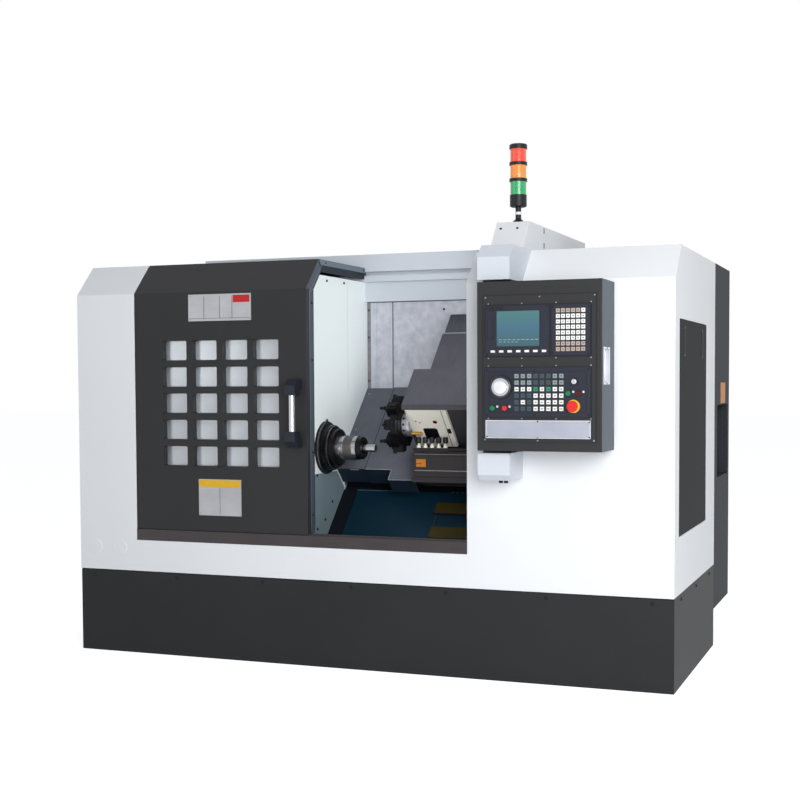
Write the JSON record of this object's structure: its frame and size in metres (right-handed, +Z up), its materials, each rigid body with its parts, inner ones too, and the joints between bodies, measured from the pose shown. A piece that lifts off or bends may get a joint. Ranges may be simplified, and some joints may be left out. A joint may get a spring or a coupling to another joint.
{
  "type": "turning lathe",
  "caption": "Slant-bed turning lathe: sliding windowed door, collet spindle, tool turret on covered slides, chip pan, swinging control box, rear electrical cabinet and signal tower.",
  "frame": {"origin": "middle of the bounding box on the floor", "axes": "+X right along the spindle axis, as seen by the operator, +Y rearwards, +Z up"},
  "size_m": [2.56, 1.688, 2.127],
  "materials": {
    "white_paint": "satin powder coat",
    "dark_paint": "fine textured powder coat",
    "light_grey_paint": "satin",
    "navy_paint": "satin",
    "cream_paint": "satin",
    "casting_paint": "painted casting",
    "sill_steel": "brushed",
    "cover_steel": "ground sheet",
    "apron_steel": "brushed",
    "bright_steel": "turned",
    "black_oxide": "black oxide",
    "screw_steel": "ground",
    "brass": "satin",
    "black_plastic": "fine grain",
    "belt_rubber": "matt",
    "lens_plastic": "translucent drums, green, amber and red",
    "window_glass": "clear",
    "bezel_plastic": "fine grain",
    "screen_glass": "gloss",
    "key_plastic": "satin caps",
    "red_plastic": "gloss",
    "green_plastic": "gloss",
    "dark_red_plastic": "gloss",
    "wheel_metal": "turned",
    "handle_black": "satin"
  },
  "bodies": {
    "machine": {"base_frame": "dark_paint", "front_cover": "white_paint", "right_cover": "white_paint", "side_panel": "dark_paint", "door_sill": "sill_steel", "top_beam": "white_paint", "rear_roof_cover": "white_paint", "headstock_guard": "light_grey_paint", "chamber_left_wall": "light_grey_paint", "chamber_back_wall": "light_grey_paint", "chip_pan": "navy_paint", "electrical_cabinet": "dark_paint", "tower_housing": "white_paint", "lamp_body": "black_plastic", "lamp_lenses": "lens_plastic", "pivot_brackets": "white_paint", "headstock_casting": "casting_paint", "spindle_bearings": "bright_steel", "spindle_cover_ring": "black_oxide", "spindle_motor": "casting_paint", "drive_belt": "belt_rubber", "bed_casting": "casting_paint", "z_servo_motor": "black_oxide", "fixed_way_cover": "cover_steel"},
    "door": {"door_shell": "dark_paint", "window_pane": "window_glass", "handle_bar": "bright_steel", "handle_brackets": "handle_black"},
    "spindle": {"spindle_shaft": "screw_steel", "chuck_adaptor": "black_oxide", "collet_chuck": "bright_steel", "bar_stock": "bright_steel", "spindle_pulley": "casting_paint"},
    "motor_rotor": {"motor_pulley": "casting_paint"},
    "carriage": {"saddle": "casting_paint", "apron": "apron_steel", "sliding_way_cover": "cover_steel", "x_cover_fixed": "cover_steel"},
    "middle_cover": {"way_cover_middle": "cover_steel"},
    "feed_screw": {"z_screw": "screw_steel"},
    "cross_carriage": {"cross_slide": "casting_paint", "turret_housing": "cream_paint", "x_cover_hood": "cover_steel", "coolant_manifold": "brass"},
    "upper_cover": {"x_cover_plate": "cover_steel"},
    "turret": {"turret_disc": "bright_steel", "tool_holders": "black_oxide"},
    "operator_box": {"control_box": "dark_paint", "control_panel": "bezel_plastic", "screen": "screen_glass", "key_caps": "key_plastic"},
    "emergency_stop": {"emergency_stop": "red_plastic"},
    "power_on_button": {"power_on_button": "green_plastic"},
    "power_off_button": {"power_off_button": "red_plastic"},
    "cycle_start_button": {"cycle_start_button": "green_plastic"},
    "feed_hold_button": {"feed_hold_button": "dark_red_plastic"},
    "handwheel": {"handwheel": "wheel_metal"},
    "key_switch": {"key_switch": "wheel_metal"},
    "cabinet_door": {"cabinet_door": "dark_paint"},
    "main_switch": {"main_switch": "wheel_metal"}
  },
  "joints": [
    {"name": "door_slide", "type": "slide", "parent": "machine", "child": "door", "axis": [1, 0, 0], "range_m": [0, 0.673]},
    {"name": "spindle_spin", "type": "hinge", "parent": "machine", "child": "spindle", "pos_m": [-0.2, -0.37681, 0.87717], "axis": [1, 0, 0], "continuous": true},
    {"name": "motor_spin", "type": "hinge", "parent": "machine", "child": "motor_rotor", "pos_m": [-0.65, 0.01, 0.64], "axis": [1, 0, 0], "continuous": true},
    {"name": "z_slide", "type": "slide", "parent": "machine", "child": "carriage", "axis": [1, 0, 0], "range_m": [-0.02, 0.33]},
    {"name": "middle_cover_slide", "type": "slide", "parent": "machine", "child": "middle_cover", "axis": [1, 0, 0], "range_m": [-0.01, 0.165]},
    {"name": "feed_screw_spin", "type": "hinge", "parent": "machine", "child": "feed_screw", "pos_m": [0.36, -0.0526, 0.87681], "axis": [1, 0, 0], "continuous": true},
    {"name": "x_slide", "type": "slide", "parent": "carriage", "child": "cross_carriage", "axis": [0, 0.7071, 0.7071], "range_m": [0, 0.16]},
    {"name": "upper_cover_slide", "type": "slide", "parent": "carriage", "child": "upper_cover", "axis": [0, 0.7071, 0.7071], "range_m": [0, 0.08]},
    {"name": "turret_index", "type": "hinge", "parent": "cross_carriage", "child": "turret", "pos_m": [0.12, -0.31494, 0.9751], "axis": [1, 0, 0], "continuous": true},
    {"name": "operator_box_swing", "type": "hinge", "parent": "machine", "child": "operator_box", "pos_m": [0.645, -0.69, 1.2], "axis": [0, 0, -1], "range_deg": [0, 90]},
    {"name": "emergency_stop_press", "type": "slide", "parent": "operator_box", "child": "emergency_stop", "axis": [0, 1, 0], "range_m": [0, 0.004]},
    {"name": "power_on_press", "type": "slide", "parent": "operator_box", "child": "power_on_button", "axis": [0, 1, 0], "range_m": [0, 0.004], "stiffness_N_per_m": 250, "springref_m": -0.001},
    {"name": "power_off_press", "type": "slide", "parent": "operator_box", "child": "power_off_button", "axis": [0, 1, 0], "range_m": [0, 0.004], "stiffness_N_per_m": 250, "springref_m": -0.001},
    {"name": "cycle_start_press", "type": "slide", "parent": "operator_box", "child": "cycle_start_button", "axis": [0, 1, 0], "range_m": [0, 0.004], "stiffness_N_per_m": 250, "springref_m": -0.001},
    {"name": "feed_hold_press", "type": "slide", "parent": "operator_box", "child": "feed_hold_button", "axis": [0, 1, 0], "range_m": [0, 0.004], "stiffness_N_per_m": 250, "springref_m": -0.001},
    {"name": "handwheel_turn", "type": "hinge", "parent": "operator_box", "child": "handwheel", "pos_m": [0.692, -0.827, 1.129], "axis": [0, -1, 0], "continuous": true},
    {"name": "key_turn", "type": "hinge", "parent": "operator_box", "child": "key_switch", "pos_m": [0.963, -0.823, 1.148], "axis": [0, 1, 0], "range_deg": [0, 90]},
    {"name": "cabinet_door_hinge", "type": "hinge", "parent": "machine", "child": "cabinet_door", "pos_m": [0.371, 0.833, 0.9], "axis": [0, 0, 1], "range_deg": [0, 110]},
    {"name": "main_switch_turn", "type": "hinge", "parent": "machine", "child": "main_switch", "pos_m": [1.235, 0.526, 0.912], "axis": [1, 0, 0], "range_deg": [0, 90]}
  ],
  "couplings": [
    {"joint": "motor_spin", "follows": "spindle_spin", "ratio": 1.3571},
    {"joint": "middle_cover_slide", "follows": "z_slide", "ratio": 0.5},
    {"joint": "upper_cover_slide", "follows": "x_slide", "ratio": 0.5},
    {"joint": "feed_screw_spin", "follows": "z_slide", "rad_per_m": 628.32}
  ]
}
